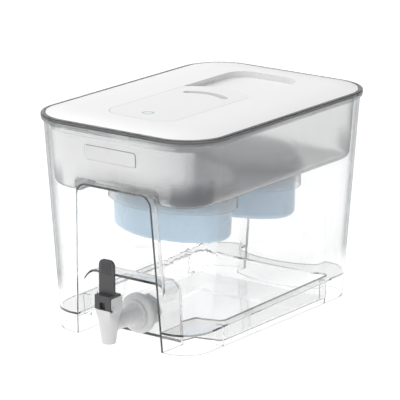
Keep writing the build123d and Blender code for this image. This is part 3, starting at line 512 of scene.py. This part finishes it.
def cover_gap_shade():
    """Painted shade of the gap round the sliding cover's front and sides: a dark bead laid in the gap."""
    low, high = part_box("fill_cover")
    half = high.x + COVER_GAP / 2
    front = low.y - COVER_GAP / 2
    z = high.z - 2 * COVER_LINE_R
    points = [Vector((-half, COVER_SIDE_END, z))]
    points += arc(Vector((COVER_R - half, front + COVER_R, z)), COVER_R, 180, 270)
    points += arc(Vector((half - COVER_R, front + COVER_R, z)), COVER_R, 270, 360)
    points.append(Vector((half, COVER_SIDE_END, z)))
    bead("cover_gap_shade", points, COVER_LINE_R, False, "cover", "gap_grey")


def shank_thread():
    """Thread on the end of the tap's shank, behind the nut."""
    z = sum(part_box("lock_nut"), Vector()).z / 2
    start = Vector((0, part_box("lock_nut")[1].y + THREAD_R, z))
    end = Vector((0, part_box("tap_body")[1].y - THREAD_R, z))
    turns = (end.y - start.y) / THREAD_PITCH
    points = screw_line(start, end, turns, Vector((SHANK_R, 0, 0)), Vector((0, 0, SHANK_R)))
    bead("shank_thread", points, THREAD_R, False, "tank", "white_plastic")


def valve_coil():
    """Coil of the tap's spring, between the valve's collar and the fixed bonnet, in place of the hidden
    spring part. The real spring shortens; this coil stays as built.
    """
    low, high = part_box("valve_spring")
    middle = (low + high) / 2
    across = (high.x - low.x) / 2 - COIL_WIRE_R
    start = Vector((middle.x, middle.y, low.z + COIL_WIRE_R))
    end = Vector((middle.x, middle.y, high.z - COIL_WIRE_R))
    points = screw_line(start, end, COIL_TURNS, Vector((across, 0, 0)), Vector((0, across, 0)))
    coil = bead("valve_coil", points, COIL_WIRE_R, False, None, "steel")
    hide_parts("valve_spring")
    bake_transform(coil)


def plate_edge_shade():
    """Painted shade round the plain raised plate, on the tank's front wall: a fine dark line at its edge."""
    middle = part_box("tank")[1].z - PLATE_DROP
    x, z = PLATE_W / 2 - PLATE_R, PLATE_H / 2 - PLATE_R
    points = []
    for quarter, corner in enumerate(((x, z), (-x, z), (-x, -z), (x, -z))):
        start = 90 * quarter
        for point in arc(Vector((*corner, 0)), PLATE_R, start, start + 90):
            ahead = Vector((point.x, IN_FRONT, middle + point.y))
            found, place, _, _ = NODES["tank"].ray_cast(ahead, Vector((0, 1, 0)))
            if found:
                points.append(place)
    bead("plate_edge_shade", points, PLATE_LINE_R, True, "tank", "gap_grey")


# ---- stage ----
def background(world, strength):
    """Background whose strength is a Map Range's result."""
    node = add(world, "Background")
    link(world, strength, "Result", node, "Strength")
    return node


def along_way(world, way):
    """How far the ray's direction goes along that way, from -1 to 1."""
    place = add(world, "TexCoord")
    node = add(world, "VectorMath", operation="DOT_PRODUCT")
    node.inputs[1].default_value = way
    link(world, place, "Generated", node, 0)
    return node


def white_world():
    """Even soft light, white to the camera; gloss and clear plastic mirror dimmer sides."""
    world = bpy.data.worlds.new("studio")
    bpy.context.scene.world = world
    world.use_nodes = True
    world.node_tree.nodes.clear()
    output = add(world, "OutputWorld")
    white = add(world, "Background", Strength=WHITE)
    slope = ramp(world, along_way(world, FILL_WAY), "Value", -1.0, 1.0, FILL_FRONT, FILL_BACK)
    fill = background(world, slope)
    aside = size_of(world, along_way(world, RIGHT), "Value")
    around, gloss = [
        background(world, ramp(world, aside, "Value", SIDE_START, SIDE_END, share * WHITE, share * SIDE_DIM,
                               smooth=True))
        for share in (1.0, GLOSS_SHARE)
    ]
    rays = add(world, "LightPath")
    seen = fill
    for ray, light in (("Is Transmission Ray", around), ("Is Glossy Ray", gloss), ("Diffuse Depth", fill),
                       ("Is Camera Ray", white)):
        seen = mixed(world, rays, ray, seen, light)
    link(world, seen, 0, output, "Surface")


def make_floor():
    """Wide white floor: white to the camera, with the object's own soft shadow."""
    material, output = new_material("floor_white")
    matt = add(material, "BsdfDiffuse", Color=(FLOOR_MATT, FLOOR_MATT, FLOOR_MATT, 1))
    glow = add(material, "Emission", Color=(1, 1, 1, 1))
    rays = add(material, "LightPath")
    seen = ramp(material, rays, "Is Transmission Ray", 0.0, 1.0, FLOOR_GLOW, WHITE)
    link(material, seen, "Result", glow, "Strength")
    both = add(material, "AddShader")
    link(material, matt, 0, both, 0)
    link(material, glow, 0, both, 1)
    link(material, both, 0, output, "Surface")
    mesh = bpy.data.meshes.new("floor")
    form = bmesh.new()
    bmesh.ops.create_circle(form, cap_ends=True, segments=FLOOR_SIDES, radius=FLOOR_RADIUS)
    form.to_mesh(mesh)
    form.free()
    mesh.materials.append(material)
    floor = bpy.data.objects.new("floor", mesh)
    floor.location.z = -FLOOR_DROP
    bpy.context.scene.collection.objects.link(floor)


def make_lamp():
    """One soft key above the left side."""
    data = bpy.data.lights.new("key", "AREA")
    data.energy = KEY_POWER
    data.shape = "DISK"
    data.size = KEY_SIZE
    lamp = bpy.data.objects.new("key", data)
    lamp.location = KEY_PLACE
    aim = Vector((0, 0, TARGET_Z)) - KEY_PLACE
    lamp.rotation_euler = aim.to_track_quat("-Z", "Y").to_euler()
    bpy.context.scene.collection.objects.link(lamp)


def make_camera():
    """Camera at the three-quarter front view, with a long lens."""
    data = bpy.data.cameras.new("camera")
    data.lens = LENS
    data.sensor_width = SENSOR
    data.clip_start = CLIP_NEAR
    data.clip_end = CLIP_FAR
    camera = bpy.data.objects.new("camera", data)
    level = math.cos(ELEVATION)
    back = Vector((math.sin(AZIMUTH) * level, -math.cos(AZIMUTH) * level, math.sin(ELEVATION)))
    target = Vector((0, 0, TARGET_Z)) + TARGET_SIDE * RIGHT
    camera.location = target + DISTANCE * back
    camera.rotation_mode = "QUATERNION"
    camera.rotation_quaternion = (-back).to_track_quat("-Z", "Y")
    bpy.context.scene.collection.objects.link(camera)
    bpy.context.scene.camera = camera


bpy.context.scene.view_settings.view_transform = "Standard"
dress_nodes()
white_world()
cover_gap_shade()
shank_thread()
valve_coil()
plate_edge_shade()
make_floor()
make_lamp()
make_camera()
